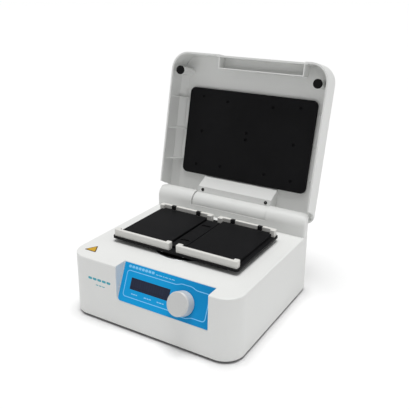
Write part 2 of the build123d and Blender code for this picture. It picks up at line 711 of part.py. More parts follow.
with BuildPart() as drive_disc:
    with BuildSketch(Plane.XY.offset(DISC_Z)):
        with Locations((0, DRIVE_Y)):
            Circle(DISC_R)
    extrude(amount=PLATFORM_Z - DISC_Z)
    with BuildSketch(Plane.XY.offset(DISC_Z)):
        pins = [(x + ORBIT_R, DRIVE_Y) for x in (-IDLER_X, 0, IDLER_X)]
        with Locations(pins):
            Circle(PIN_R + RUNNING)
    extrude(amount=PIN_TOP + 0.5 - DISC_Z, mode=Mode.SUBTRACT)
drive_disc.part.label = "drive_disc"
export_step(drive_disc.part, "parts/drive_disc.step")

# ---------------------------------------------------------------- shaking carriage
PLATE_LAP = 2.5  # carriage plate beyond the bars
HEAT_INNER = 15.4
HEAT_OUTER = 108.0
PAD_T = 0.8
COVER_HALF = 12.6
COVER_H = 3.6
BAR_GAP = 6.0
BAR_FIT = 0.3
CLIP_BACKING = 0.9  # bar left behind a clip
BAR_SCREWS = [
    (side * (BAY_CENTRE + x), y)
    for side in (-1, 1)
    for x in (-40.0, 40.0)
    for y in (BAR_FRONT_Y + BAR_T / 2, BAR_REAR_Y - BAR_T / 2)
]
BAY_DEPTH = BAR_REAR_Y - BAR_FRONT_Y - 2 * BAR_T

with BuildPart() as platform_plate:
    with BuildSketch(Plane.XY.offset(PLATFORM_Z)):
        with Locations((0, CARRIAGE_Y)):
            plate_depth = BAR_REAR_Y - BAR_FRONT_Y + 2 * PLATE_LAP
            RectangleRounded(2 * (BAR_GAP + BAR_W + PLATE_LAP), plate_depth, 6)
        with Locations(BAR_SCREWS):
            Circle(1.7, mode=Mode.SUBTRACT)
    extrude(amount=PLATFORM_T)
platform_plate.part.label = "platform_plate"
export_step(platform_plate.part, "parts/platform_plate.step")

with BuildPart() as channel_cover:
    with BuildSketch(Plane.XY.offset(PLATFORM_TOP)):
        with Locations((0, CARRIAGE_Y)):
            Rectangle(2 * COVER_HALF, BAY_DEPTH - 12)
    extrude(amount=COVER_H)
    fillet(channel_cover.edges().group_by(Axis.Z)[-1], 0.8)
    with BuildSketch(Plane.XY.offset(PLATFORM_TOP + COVER_H)):
        with Locations((0, CARRIAGE_Y - 33), (0, CARRIAGE_Y + 33)):
            SlotOverall(17, 7)
    extrude(amount=-1.6, mode=Mode.SUBTRACT)
channel_cover.part.label = "channel_cover"
export_step(channel_cover.part, "parts/channel_cover.step")

with BuildPart() as heater_pads:
    with BuildSketch(Plane.XY.offset(PLATFORM_TOP)):
        with Locations((-BAY_CENTRE, CARRIAGE_Y), (BAY_CENTRE, CARRIAGE_Y)):
            RectangleRounded(80, 104, 4)
    extrude(amount=PAD_T)
heater_pads.part.label = "heater_pads"
export_step(heater_pads.part, "parts/heater_pads.step")


def bay_plate(side):
    """Heated plate of one bay, cut away round the ears of the bars and under the clips."""
    with BuildPart() as heat_plate:
        with BuildSketch(Plane.XY.offset(PLATFORM_TOP + PAD_T)):
            with Locations((side * (HEAT_INNER + HEAT_OUTER) / 2, CARRIAGE_Y)):
                Rectangle(HEAT_OUTER - HEAT_INNER, BAY_DEPTH - 2 * BAR_FIT)
            corner_x = HEAT_OUTER - (BAR_GAP + BAR_W - EAR_W) + BAR_FIT
            for y in (-1, 1):
                with Locations((side * HEAT_OUTER, CARRIAGE_Y + y * BAY_DEPTH / 2)):
                    Rectangle(2 * corner_x, 2 * (EAR_L + BAR_FIT), mode=Mode.SUBTRACT)
            clip_y = CARRIAGE_Y + BAY_DEPTH / 2
            with Locations([(side * BAY_CENTRE + x, clip_y) for x in (-CLIP_OFFSET, CLIP_OFFSET)]):
                Rectangle(CLIP_W + 2 * CLIP_ROOM, 2 * (CLIP_OUT + CLIP_ROOM), mode=Mode.SUBTRACT)
        extrude(amount=HEAT_T - PAD_T)
        chamfer(heat_plate.faces().sort_by(Axis.Z)[-1].edges(), 0.4)
    return heat_plate


heat_plate_left = bay_plate(-1)
heat_plate_left.part.label = "heat_plate_left"
export_step(heat_plate_left.part, "parts/heat_plate_left.step")

heat_plate_right = bay_plate(1)
heat_plate_right.part.label = "heat_plate_right"
export_step(heat_plate_right.part, "parts/heat_plate_right.step")


def end_bar(side, outer_y, inward):
    """C-shaped end bar of one bay: a rail with a short ear at each end."""
    middle = side * BAY_CENTRE
    with BuildPart() as bar:
        with BuildSketch(Plane.XY.offset(PLATFORM_TOP)):
            with Locations((middle, outer_y + inward * BAR_T / 2)):
                Rectangle(BAR_W, BAR_T)
            ear_x = (BAR_W - EAR_W) / 2
            for x in (middle - ear_x, middle + ear_x):
                with Locations((x, outer_y + inward * (BAR_T + EAR_L) / 2)):
                    Rectangle(EAR_W, BAR_T + EAR_L)
        extrude(amount=BAR_H)
        outer_corners = bar.edges().filter_by(Axis.Z).sort_by(Axis.Y)
        outer_corners = outer_corners[:2] if inward > 0 else outer_corners[-2:]
        fillet(outer_corners, 2.4)
        tips = bar.edges().filter_by(Axis.Z).sort_by(Axis.Y)
        tips = tips[-4:] if inward > 0 else tips[:4]
        fillet(tips, 1.6)
        fillet(bar.faces().sort_by(Axis.Z)[-1].edges(), 0.9)
        screws = [spot for spot in BAR_SCREWS if spot[0] * side > 0 and (spot[1] - CARRIAGE_Y) * inward < 0]
        with BuildSketch(Plane.XY.offset(PLATFORM_TOP)):
            with Locations(screws):
                Circle(1.5)
        extrude(amount=6, mode=Mode.SUBTRACT)
        if inward < 0:
            with BuildSketch(Plane.XY.offset(BAR_TOP)):
                slot_y = outer_y - BAR_T
                with Locations((middle - CLIP_OFFSET, slot_y), (middle + CLIP_OFFSET, slot_y)):
                    Rectangle(CLIP_W + 2 * CLIP_ROOM, 2 * (BAR_T - CLIP_BACKING))
            extrude(amount=BAR_TOP - HEAT_TOP + 0.8, dir=(0, 0, -1), mode=Mode.SUBTRACT)
    return bar


front_bar_left = end_bar(-1, BAR_FRONT_Y, 1)
front_bar_left.part.label = "front_bar_left"
export_step(front_bar_left.part, "parts/front_bar_left.step")

front_bar_right = end_bar(1, BAR_FRONT_Y, 1)
front_bar_right.part.label = "front_bar_right"
export_step(front_bar_right.part, "parts/front_bar_right.step")

rear_bar_left = end_bar(-1, BAR_REAR_Y, -1)
rear_bar_left.part.label = "rear_bar_left"
export_step(rear_bar_left.part, "parts/rear_bar_left.step")

rear_bar_right = end_bar(1, BAR_REAR_Y, -1)
rear_bar_right.part.label = "rear_bar_right"
export_step(rear_bar_right.part, "parts/rear_bar_right.step")

with BuildPart() as bar_screws:
    with BuildSketch(Plane.XY.offset(PLATFORM_Z - 1.8)):
        with Locations(BAR_SCREWS):
            Circle(2.8)
    extrude(amount=1.8)
    with BuildSketch(Plane.XY.offset(PLATFORM_Z)):
        with Locations(BAR_SCREWS):
            Circle(1.5)
    extrude(amount=PLATFORM_T + 5.5)
bar_screws.part.label = "bar_screws"
export_step(bar_screws.part, "parts/bar_screws.step")


def bay_clips(side):
    """Pair of sprung blocks that press a plate against the front bar."""
    with BuildPart() as clips:
        with BuildSketch(Plane.XY.offset(HEAT_TOP + 0.3)):
            clip_y = BAR_REAR_Y - BAR_T - CLIP_OUT + CLIP_D / 2
            with Locations([(side * BAY_CENTRE + x, clip_y) for x in (-CLIP_OFFSET, CLIP_OFFSET)]):
                Rectangle(CLIP_W, CLIP_D)
        extrude(amount=BAR_TOP - HEAT_TOP + 0.9)
        fillet(clips.edges().group_by(Axis.Z)[-1].group_by(Axis.Y)[0], 0.8)
    return clips


spring_clips_left = bay_clips(-1)
spring_clips_left.part.label = "spring_clips_left"
export_step(spring_clips_left.part, "parts/spring_clips_left.step")

spring_clips_right = bay_clips(1)
spring_clips_right.part.label = "spring_clips_right"
export_step(spring_clips_right.part, "parts/spring_clips_right.step")

# ---------------------------------------------------------------- electronics in the base
SUPPLY_Y = FRONT_Y + 212
with BuildPart() as power_supply:
    with BuildSketch(Plane.XY.offset(BODY_Z + 2)):
        with Locations((-5, SUPPLY_Y)):
            Rectangle(110, 58)
    extrude(amount=34)
    chamfer(power_supply.edges().group_by(Axis.Z)[-1], 1.5)
    with Locations([(x, SUPPLY_Y, BODY_Z + 36) for x in range(-45, 36, 8)]):
        Box(4, 36, 3, mode=Mode.SUBTRACT)
    with Locations([(x, y, BODY_Z + 1) for x in (-50, 40) for y in (SUPPLY_Y - 20, SUPPLY_Y + 20)]):
        Cylinder(3.5, 2)
power_supply.part.label = "power_supply"
export_step(power_supply.part, "parts/power_supply.step")

BOARD_X = -116.0
BOARD_Y = FRONT_Y + 125
with BuildPart() as driver_board:
    with BuildSketch(Plane.XY.offset(BODY_Z + 7)):
        with Locations((BOARD_X, BOARD_Y)):
            Rectangle(28, 140)
    extrude(amount=BOARD_T)
    with Locations([(BOARD_X + x, BOARD_Y + y, BODY_Z) for x in (-10, 10) for y in (-64, 64)]):
        Cylinder(2.5, 7.2, align=(Align.CENTER, Align.CENTER, Align.MIN))
    with Locations([(BOARD_X, BOARD_Y + y, BODY_Z + 8) for y in (-46, -24)]):
        Box(16, 19, 14, align=(Align.CENTER, Align.CENTER, Align.MIN))
    with Locations([(BOARD_X + x, BOARD_Y + y, BODY_Z + 8) for x in (-7, 7) for y in (2, 18)]):
        Cylinder(5.0, 16, align=(Align.CENTER, Align.CENTER, Align.MIN))
    with Locations([(BOARD_X + x, BOARD_Y + 42, BODY_Z + 8) for x in range(-10, 11, 4)]):
        Box(1.4, 24, 18, align=(Align.CENTER, Align.CENTER, Align.MIN))
    with Locations((BOARD_X, BOARD_Y + 42, BODY_Z + 8)):
        Box(22, 24, 3, align=(Align.CENTER, Align.CENTER, Align.MIN))
driver_board.part.label = "driver_board"
export_step(driver_board.part, "parts/driver_board.step")

# ---------------------------------------------------------------- lid
RISER_CLEAR_R = RISER_R + 1.2
POCKET_LEFT = -54.0
POCKET_RIGHT = 106.0
POCKET_MID = (POCKET_LEFT + POCKET_RIGHT) / 2
POCKET_W = POCKET_RIGHT - POCKET_LEFT
POCKET_DEEP = 21.0
POCKET_INNER = RIM_REAR - 217.0  # face of the pocket's inner wall
POCKET_WALL = 1.6
GRIP_RECESS = 3.0
GRIP_WALL = 1.5  # wall left behind the finger recess
GRIP_TOP = 2.0  # from the top of the finger recess to the pocket's floor
RIB_SPOTS = [RIM_REAR - s for s in (43.0, 101.0, 159.0, 203.0)]
RIB_T = 1.6
RIB_FOOT = 3.0  # lower end of the ribs, above the rim
RIB_REACH = 18.0
HAUNCH = 12.0  # sloping corner between side walls and ceiling
HAUNCH_START = -8.0
HAUNCH_END = RIB_SPOTS[-1] - RIB_T
BUMPER_X = 131.5
BUMPER_Y = RIM_REAR - 208.0
BUMPER_R = 7.75
BUMPER_GRIP = 3.2
LID_UP = Axis(LID.origin, LID.z_dir)
INSIDE_X = LID_HALF - LID_WALL
FORWARD = (Align.CENTER, Align.MAX)
pocket_length = POCKET_INNER - RIM_FRONT - LID_WALL


def lid_station(y):
    """Plane square to the lid's length at a distance from the hinge axis."""
    return Plane(origin=LID.from_local_coords((0, y, 0)), x_dir=(1, 0, 0), z_dir=-LID.y_dir)


with BuildPart() as lid_cavity:
    with BuildSketch(LID.offset(RIM)):
        add(lid_outline(LID_WALL, LID_REAR - LID_WALL))
    extrude(amount=CEILING - RIM, taper=DRAFT)
    for side in (-1, 1):
        edge_x = side * (INSIDE_X + 0.4)
        top = CEILING + 0.4
        with BuildSketch(lid_station(HAUNCH_START)):
            with BuildLine():
                Polyline((edge_x, top - HAUNCH), (edge_x, top), (edge_x - side * HAUNCH, top), close=True)
            make_face()
        extrude(amount=HAUNCH_START - HAUNCH_END, mode=Mode.SUBTRACT)
        for y in RIB_SPOTS:
            with BuildSketch(lid_station(y)):
                with BuildLine():
                    rib_tip = (edge_x - side * RIB_REACH, top)
                    Polyline((edge_x, RIM + RIB_FOOT), (edge_x, top), rib_tip, close=True)
                make_face()
            extrude(amount=RIB_T, mode=Mode.SUBTRACT)
    with BuildSketch(LID.offset(RIM + BUMPER_GRIP)):
        with Locations((-BUMPER_X, BUMPER_Y), (BUMPER_X, BUMPER_Y)):
            Circle(BUMPER_R - 0.6)
    extrude(amount=CEILING - RIM - BUMPER_GRIP + 0.4, mode=Mode.SUBTRACT)
    with BuildSketch(LID.offset(RIM)):  # front wall behind the finger recess
        with Locations((POCKET_MID, RIM_FRONT)):
            Rectangle(POCKET_W + 8, GRIP_RECESS + GRIP_WALL, align=(Align.CENTER, Align.MIN))
    extrude(amount=POCKET_DEEP, mode=Mode.SUBTRACT)
    with BuildSketch(LID.offset(RIM)):  # finger pocket: thin walls and a floor
        with Locations((POCKET_MID, POCKET_INNER)):
            Rectangle(POCKET_W, pocket_length, align=FORWARD)
        with Locations((POCKET_MID, POCKET_INNER - POCKET_WALL)):
            Rectangle(POCKET_W - 2 * POCKET_WALL, pocket_length, align=FORWARD, mode=Mode.SUBTRACT)
    extrude(amount=POCKET_DEEP, mode=Mode.SUBTRACT)
    with BuildSketch(LID.offset(RIM + POCKET_DEEP)):
        with Locations((POCKET_MID, POCKET_INNER)):
            Rectangle(POCKET_W, pocket_length, align=FORWARD)
    extrude(amount=POCKET_WALL, mode=Mode.SUBTRACT)

with BuildPart() as lid_shell:
    with BuildSketch(LID.offset(RIM)):
        add(lid_outline(0, LID_REAR))
    extrude(amount=LID_HEIGHT, taper=DRAFT)
    fillet(lid_shell.faces().sort_by(LID_UP)[-1].edges(), LID_EDGE_R)
    add(lid_cavity.part, mode=Mode.SUBTRACT)
    with BuildSketch(LID.offset(RIM)):
        with Locations((POCKET_MID, RIM_FRONT + GRIP_RECESS)):
            Rectangle(POCKET_W, 2 * GRIP_RECESS, align=(Align.CENTER, Align.MAX))
    extrude(amount=POCKET_DEEP - GRIP_TOP, mode=Mode.SUBTRACT)
    with BuildSketch(LID_SIDE):  # clearance round the riser
        with BuildLine():
            below = RIM - 1
            behind = LID_REAR + 2
            Polyline((RIM_REAR, below), (RIM_REAR, RIM), (-RISER_CLEAR_R, 0))
            RadiusArc((-RISER_CLEAR_R, 0), (0, RISER_CLEAR_R), RISER_CLEAR_R)
            Polyline((0, RISER_CLEAR_R), (behind, RISER_CLEAR_R), (behind, below), (RIM_REAR, below))
        make_face()
    extrude(amount=LID_HALF + 1, both=True, mode=Mode.SUBTRACT)
lid_shell.part.label = "lid_shell"
export_step(lid_shell.part, "parts/lid_shell.step")

HEATER_HALF = 125.5
HEATER_LOW = RIM_REAR - 181.0
HEATER_HIGH = RIM_REAR - 21.0
HEATER_T = 3.0
FOAM_T = 2.5
HEATER_FACE = CEILING - FOAM_T - HEATER_T
LID_SCREW_SPOTS = [(96, 166), (96, 39), (45, 161), (45, 42), (92, 102)]
LID_SCREWS = [(side * x, RIM_REAR - s) for side in (-1, 1) for x, s in LID_SCREW_SPOTS]
LID_SCREWS = LID_SCREWS + [(0, RIM_REAR - 98), (0, RIM_REAR - 110)]

with BuildPart() as lid_heater_plate:
    with BuildSketch(LID.offset(HEATER_FACE)):
        with Locations((0, (HEATER_LOW + HEATER_HIGH) / 2)):
            RectangleRounded(2 * HEATER_HALF, HEATER_HIGH - HEATER_LOW, 10)
    extrude(amount=HEATER_T)
    chamfer(lid_heater_plate.faces().sort_by(LID_UP)[0].edges(), 0.4)
    with BuildSketch(LID.offset(HEATER_FACE)):
        with Locations(LID_SCREWS):
            Circle(2.9)
    extrude(amount=1.6, mode=Mode.SUBTRACT)
lid_heater_plate.part.label = "lid_heater_plate"
export_step(lid_heater_plate.part, "parts/lid_heater_plate.step")

with BuildPart() as lid_insulation:
    with BuildSketch(LID.offset(CEILING - FOAM_T)):
        with Locations((0, (HEATER_LOW + HEATER_HIGH) / 2)):
            RectangleRounded(2 * HEATER_HALF - 6, HEATER_HIGH - HEATER_LOW - 6, 8)
    extrude(amount=FOAM_T)
lid_insulation.part.label = "lid_insulation"
export_step(lid_insulation.part, "parts/lid_insulation.step")

with BuildPart() as lid_heater_screws:
    with BuildSketch(LID.offset(HEATER_FACE + 0.5)):
        with Locations(LID_SCREWS):
            Circle(2.5)
            RegularPolygon(1.2, 6, mode=Mode.SUBTRACT)
    extrude(amount=1.1)
lid_heater_screws.part.label = "lid_heater_screws"
export_step(lid_heater_screws.part, "parts/lid_heater_screws.step")

with BuildPart() as lid_bumpers:
    with BuildSketch(LID.offset(RIM - 0.3)):
        with Locations((-BUMPER_X, BUMPER_Y), (BUMPER_X, BUMPER_Y)):
            Circle(BUMPER_R)
    extrude(amount=BUMPER_GRIP + 0.3)
    fillet(lid_bumpers.edges().group_by(LID_UP)[0], 0.8)
lid_bumpers.part.label = "lid_bumpers"
export_step(lid_bumpers.part, "parts/lid_bumpers.step")

# ---------------------------------------------------------------- hinge
COVER_T = 2.0
COVER_TOP = -44.3  # upper end of the cover, next to the heater plate
COVER_KNEE = -27.6
COVER_FLAT = 0.4
COVER_END = -BARREL_R - 0.3
BARREL_T = 2.5
BARREL_START = 178.0  # degrees round the hinge axis, from +Y of the closed lid
BARREL_END = 292.0
CAP_T = 3.0
CAP_BACK = LID_REAR - LID_WALL - 0.6
COVER_SCREW_X = 64.0
COVER_SCREW_Y = -22.0
COVER_SCREW_R = 2.9
COVER_SCREW_OUT = 0.5
COVER_SCREW_IN = 1.2

with BuildPart() as hinge_cover:
    with BuildSketch(LID_SIDE):
        with BuildLine():
            Polyline(
                (COVER_TOP, CEILING),
                (COVER_TOP, HEATER_FACE),
                (COVER_KNEE, COVER_FLAT),
                (COVER_END, COVER_FLAT),
                (COVER_END, CEILING),
                close=True,
            )
        make_face()
    extrude(amount=HINGE_HALF, both=True)
    with BuildSketch(LID_SIDE):
        with BuildLine():
            Polyline(
                (COVER_TOP + COVER_T, CEILING),
                (COVER_TOP + COVER_T, HEATER_FACE + 0.8),
                (COVER_KNEE + 1.0, COVER_FLAT + COVER_T),
                (COVER_END + 1.0, COVER_FLAT + COVER_T),
                (COVER_END + 1.0, CEILING),
                close=True,
            )
        make_face()
    extrude(amount=HINGE_HALF - COVER_T, both=True, mode=Mode.SUBTRACT)
    with BuildSketch(LID.offset(COVER_FLAT)):
        with Locations((-COVER_SCREW_X, COVER_SCREW_Y), (COVER_SCREW_X, COVER_SCREW_Y)):
            Circle(COVER_SCREW_R + 0.1)
    extrude(amount=COVER_SCREW_IN, mode=Mode.SUBTRACT)
hinge_cover.part.label = "hinge_cover"
export_step(hinge_cover.part, "parts/hinge_cover.step")

with BuildPart() as hinge_cover_screws:
    with BuildSketch(LID.offset(COVER_FLAT - COVER_SCREW_OUT)):
        with Locations((-COVER_SCREW_X, COVER_SCREW_Y), (COVER_SCREW_X, COVER_SCREW_Y)):
            Circle(COVER_SCREW_R)
            RegularPolygon(1.1, 6, mode=Mode.SUBTRACT)
    extrude(amount=COVER_SCREW_OUT + COVER_SCREW_IN)
hinge_cover_screws.part.label = "hinge_cover_screws"
export_step(hinge_cover_screws.part, "parts/hinge_cover_screws.step")


def round_axis(radius, angle):
    """Point of the lid's side view at an angle round the hinge axis."""
    return (radius * cos(radians(angle)), radius * sin(radians(angle)))


BARREL_MID = (BARREL_START + BARREL_END) / 2
BARREL_TIP = round_axis(BARREL_R, BARREL_START)
BARREL_LIP = round_axis(BARREL_R, BARREL_END)
BARREL_TIP_INNER = round_axis(BARREL_R - BARREL_T, BARREL_START)
BARREL_LIP_INNER = round_axis(BARREL_R - BARREL_T, BARREL_END)
CAP_X = HINGE_HALF - CAP_T
BACK_OUTER = 6.4  # flat back of the barrel, from the hinge axis
BACK_TOP = RISER_CLEAR_R - 0.2
BACK_T = 1.5
with BuildPart() as hinge_barrel:
    with BuildSketch(LID_SIDE):  # rounded cover sheet
        with BuildLine():
            ThreePointArc(BARREL_TIP, round_axis(BARREL_R, BARREL_MID), BARREL_LIP)
            Line(BARREL_LIP, BARREL_LIP_INNER)
            ThreePointArc(BARREL_LIP_INNER, round_axis(BARREL_R - BARREL_T, BARREL_MID), BARREL_TIP_INNER)
            Line(BARREL_TIP_INNER, BARREL_TIP)
        make_face()
    extrude(amount=HINGE_HALF, both=True)
    with BuildSketch(LID_SIDE):  # flat back that shuts the slot when the lid is down
        with BuildLine():
            Polyline(
                (BACK_OUTER, BARREL_LIP[1] + 0.05),
                (BACK_OUTER, BACK_TOP),
                (CAP_BACK, BACK_TOP),
                (CAP_BACK, BACK_TOP - BACK_T),
                (BACK_OUTER - BACK_T, BACK_TOP - BACK_T),
                (BACK_OUTER - BACK_T, BARREL_LIP[1] + 0.95),
                close=True,
            )
        make_face()
    extrude(amount=HINGE_HALF, both=True)
    for side in (-1, 1):  # end caps carry the bores and reach the lid's ceiling
        with BuildSketch(LID_SIDE.offset(side * CAP_X)):
            with BuildLine():
                ThreePointArc(BARREL_TIP, round_axis(BARREL_R, BARREL_MID), BARREL_LIP)
                Polyline(
                    BARREL_LIP,
                    (6, 0),
                    (CAP_BACK, RISER_CLEAR_R + 0.4),
                    (CAP_BACK, CEILING),
                    (BARREL_TIP[0], CEILING),
                    BARREL_TIP,
                )
            make_face()
            Circle(SHAFT_R + RUNNING, mode=Mode.SUBTRACT)
        extrude(amount=side * CAP_T)
hinge_barrel.part.label = "hinge_barrel"
export_step(hinge_barrel.part, "parts/hinge_barrel.step")

with BuildPart() as friction_sleeves:
    for side in (-1, 1):
        with BuildSketch(LID_SIDE.offset(side * 50)):
            Circle(4.6)
            Circle(SHAFT_R + RUNNING, mode=Mode.SUBTRACT)
        extrude(amount=side * (HINGE_HALF - CAP_T - 50))
friction_sleeves.part.label = "friction_sleeves"
export_step(friction_sleeves.part, "parts/friction_sleeves.step")

with BuildPart() as hinge_shaft:
    with BuildSketch(LID_SIDE):
        Circle(SHAFT_R)
    extrude(amount=HINGE_SLOT + CHEEK_T, both=True)
hinge_shaft.part.label = "hinge_shaft"
export_step(hinge_shaft.part, "parts/hinge_shaft.step")

with BuildPart() as hinge_bushes:
    for side in (-1, 1):
        with BuildSketch(LID_SIDE.offset(side * HINGE_SLOT)):
            Circle(BUSH_R)
            Circle(SHAFT_R, mode=Mode.SUBTRACT)
        extrude(amount=side * CHEEK_T)
hinge_bushes.part.label = "hinge_bushes"
export_step(hinge_bushes.part, "parts/hinge_bushes.step")
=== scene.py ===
import json
from math import cos, hypot, pi, radians, sin

import bmesh
import bpy
from mathutils import Matrix, Vector


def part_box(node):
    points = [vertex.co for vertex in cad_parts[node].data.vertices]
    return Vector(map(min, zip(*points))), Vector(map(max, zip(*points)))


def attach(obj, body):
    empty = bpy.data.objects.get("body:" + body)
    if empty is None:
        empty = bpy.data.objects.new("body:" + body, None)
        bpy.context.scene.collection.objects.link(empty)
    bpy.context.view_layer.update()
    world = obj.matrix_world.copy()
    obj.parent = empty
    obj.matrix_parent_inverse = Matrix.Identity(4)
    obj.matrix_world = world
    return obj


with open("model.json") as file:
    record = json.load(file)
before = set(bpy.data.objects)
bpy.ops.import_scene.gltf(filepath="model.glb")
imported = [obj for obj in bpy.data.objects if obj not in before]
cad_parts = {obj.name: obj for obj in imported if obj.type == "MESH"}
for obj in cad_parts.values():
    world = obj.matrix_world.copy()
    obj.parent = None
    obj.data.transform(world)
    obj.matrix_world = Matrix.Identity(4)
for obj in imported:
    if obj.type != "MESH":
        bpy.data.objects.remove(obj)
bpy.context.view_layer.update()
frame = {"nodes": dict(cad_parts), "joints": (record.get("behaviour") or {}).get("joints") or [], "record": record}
MM = 0.001

# ---------------------------------------------------------------- camera, lights and floor
CAMERA_PLACE = Vector((0.4561, -0.7750, 0.5139))
CAMERA_YAW = radians(30.44)
CAMERA_PITCH = radians(21.39)
CAMERA_ROLL = radians(0.64)
CAMERA_LENS = 51.44
SENSOR = 36.0
SKY = 0.35  # strength of the white surroundings, as light on the object
OVERHEAD_FROM = (0.0, 0.0, 1.0)
OVERHEAD_POWER = 2.25
OVERHEAD_SPREAD = radians(34)
SIDE_FROM = (1.0, 0.0, 0.5)
SIDE_POWER = 0.14
SIDE_SPREAD = radians(60)
FLOOR_HALF = 40.0
FLOOR_CELLS = 24
PLAIN_WHITE = (1.0, 1.0, 1.0, 1.0)


def add_camera():
    data = bpy.data.cameras.new("camera")
    data.sensor_fit = "HORIZONTAL"
    data.sensor_width = SENSOR
    data.lens = CAMERA_LENS
    camera = bpy.data.objects.new("camera", data)
    forward = Vector((
        -sin(CAMERA_YAW) * cos(CAMERA_PITCH),
        cos(CAMERA_YAW) * cos(CAMERA_PITCH),
        -sin(CAMERA_PITCH),
    ))
    right = forward.cross(Vector((0, 0, 1))).normalized()
    up = right.cross(forward)
    axes = Matrix((right, up, -forward)).transposed()
    turned = axes @ Matrix.Rotation(CAMERA_ROLL, 3, "Z")
    camera.matrix_world = Matrix.Translation(CAMERA_PLACE) @ turned.to_4x4()
    bpy.context.collection.objects.link(camera)
    bpy.context.scene.camera = camera


def add_lamp(name, towards, power, spread):
    """Distant soft light that shines from the given direction."""
    data = bpy.data.lights.new(name, "SUN")
    data.energy = power
    data.angle = spread
    lamp = bpy.data.objects.new(name, data)
    lamp.rotation_euler = (-Vector(towards)).to_track_quat("-Z", "Y").to_euler()
    bpy.context.collection.objects.link(lamp)


def add_studio():
    """White surroundings, dimmer as light than as the backdrop, and two distant soft lights."""
    world = bpy.data.worlds.new("studio")
    bpy.context.scene.world = world
    world.use_nodes = True
    nodes, links = world.node_tree.nodes, world.node_tree.links
    background = nodes["Background"]
    background.inputs["Color"].default_value = PLAIN_WHITE
    background.inputs["Strength"].default_value = SKY
    backdrop = nodes.new("ShaderNodeBackground")
    backdrop.inputs["Color"].default_value = PLAIN_WHITE
    seen = nodes.new("ShaderNodeLightPath")
    mix = nodes.new("ShaderNodeMixShader")
    links.new(seen.outputs["Is Camera Ray"], mix.inputs["Fac"])
    links.new(background.outputs["Background"], mix.inputs[1])
    links.new(backdrop.outputs["Background"], mix.inputs[2])
    links.new(mix.outputs["Shader"], nodes["World Output"].inputs["Surface"])
    add_lamp("overhead_softbox", OVERHEAD_FROM, OVERHEAD_POWER, OVERHEAD_SPREAD)
    add_lamp("side_softbox", SIDE_FROM, SIDE_POWER, SIDE_SPREAD)
    bpy.context.scene.view_settings.view_transform = "Standard"


def add_floor():
    bm = bmesh.new()
    bmesh.ops.create_grid(bm, x_segments=FLOOR_CELLS, y_segments=FLOOR_CELLS, size=FLOOR_HALF)
    mesh = bpy.data.meshes.new("floor")
    bm.to_mesh(mesh)
    bm.free()
    floor = bpy.data.objects.new("floor", mesh)
    bpy.context.collection.objects.link(floor)
    paper = grained("floor_paper", (0.96, 0.96, 0.96), 0.9, 0.01, 60, 0.0, 0.0)
    floor.data.materials.append(paper)


# ---------------------------------------------------------------- materials
def new_material(name):
    material = bpy.data.materials.new(name)
    material.use_nodes = True
    nodes = material.node_tree.nodes
    shader = nodes["Principled BSDF"]
    return material, nodes, material.node_tree.links, shader


def object_coordinates(nodes):
    return nodes.new("ShaderNodeTexCoord").outputs["Object"]


def noise(nodes, links, where, scale, detail=3.0, roughness=0.5):
    node = nodes.new("ShaderNodeTexNoise")
    node.inputs["Scale"].default_value = scale
    node.inputs["Detail"].default_value = detail
    node.inputs["Roughness"].default_value = roughness
    links.new(where, node.inputs["Vector"])
    return node.outputs["Fac"]


def between(nodes, links, factor, low, high):
    node = nodes.new("ShaderNodeMapRange")
    node.inputs["From Min"].default_value = 0.3
    node.inputs["From Max"].default_value = 0.7
    node.inputs["To Min"].default_value = low
    node.inputs["To Max"].default_value = high
    links.new(factor, node.inputs["Value"])
    return node.outputs["Result"]


def two_colours(nodes, links, factor, first, second, low=0.3, high=0.7):
    ramp = nodes.new("ShaderNodeValToRGB")
    ramp.color_ramp.elements[0].position = low
    ramp.color_ramp.elements[1].position = high
    ramp.color_ramp.elements[0].color = (*first, 1.0)
    ramp.color_ramp.elements[1].color = (*second, 1.0)
    links.new(factor, ramp.inputs["Fac"])
    return ramp.outputs["Color"]


def add_bump(nodes, links, shader, height, distance, strength=1.0):
    bump = nodes.new("ShaderNodeBump")
    bump.inputs["Strength"].default_value = strength
    bump.inputs["Distance"].default_value = distance
    links.new(height, bump.inputs["Height"])
    links.new(bump.outputs["Normal"], shader.inputs["Normal"])


def shaded(colour, amount):
    return tuple(min(1.0, c * (1.0 + amount)) for c in colour)


PATCH_SCALE = 7.0


def grained(name, colour, rough, mottle, grain_scale, grain_depth, metallic, gloss=0.5):
    """Moulded or coated surface: slight patches of tone, uneven gloss and a fine grain."""
    material, nodes, links, shader = new_material(name)
    where = object_coordinates(nodes)
    tone = noise(nodes, links, where, PATCH_SCALE, 4.0, 0.6)
    links.new(
        two_colours(nodes, links, tone, shaded(colour, -mottle), shaded(colour, mottle)),
        shader.inputs["Base Color"],
    )
    grain = noise(nodes, links, where, grain_scale, 2.0, 0.6)
    links.new(between(nodes, links, grain, rough - 0.05, rough + 0.05), shader.inputs["Roughness"])
    shader.inputs["Metallic"].default_value = metallic
    shader.inputs["Specular IOR Level"].default_value = gloss
    if grain_depth:
        add_bump(nodes, links, shader, grain, grain_depth)
    return material


def brushed(name, colour, rough, stretch):
    """Machined metal: fine scratches drawn out along one direction."""
    material, nodes, links, shader = new_material(name)
    mapping = nodes.new("ShaderNodeMapping")
    mapping.inputs["Scale"].default_value = stretch
    links.new(object_coordinates(nodes), mapping.inputs["Vector"])
    lines = noise(nodes, links, mapping.outputs["Vector"], 60, 5.0, 0.7)
    links.new(
        two_colours(nodes, links, lines, shaded(colour, -0.12), shaded(colour, 0.08)),
        shader.inputs["Base Color"],
    )
    links.new(between(nodes, links, lines, rough - 0.08, rough + 0.1), shader.inputs["Roughness"])
    shader.inputs["Metallic"].default_value = 1.0
    add_bump(nodes, links, shader, lines, 0.00003)
    return material


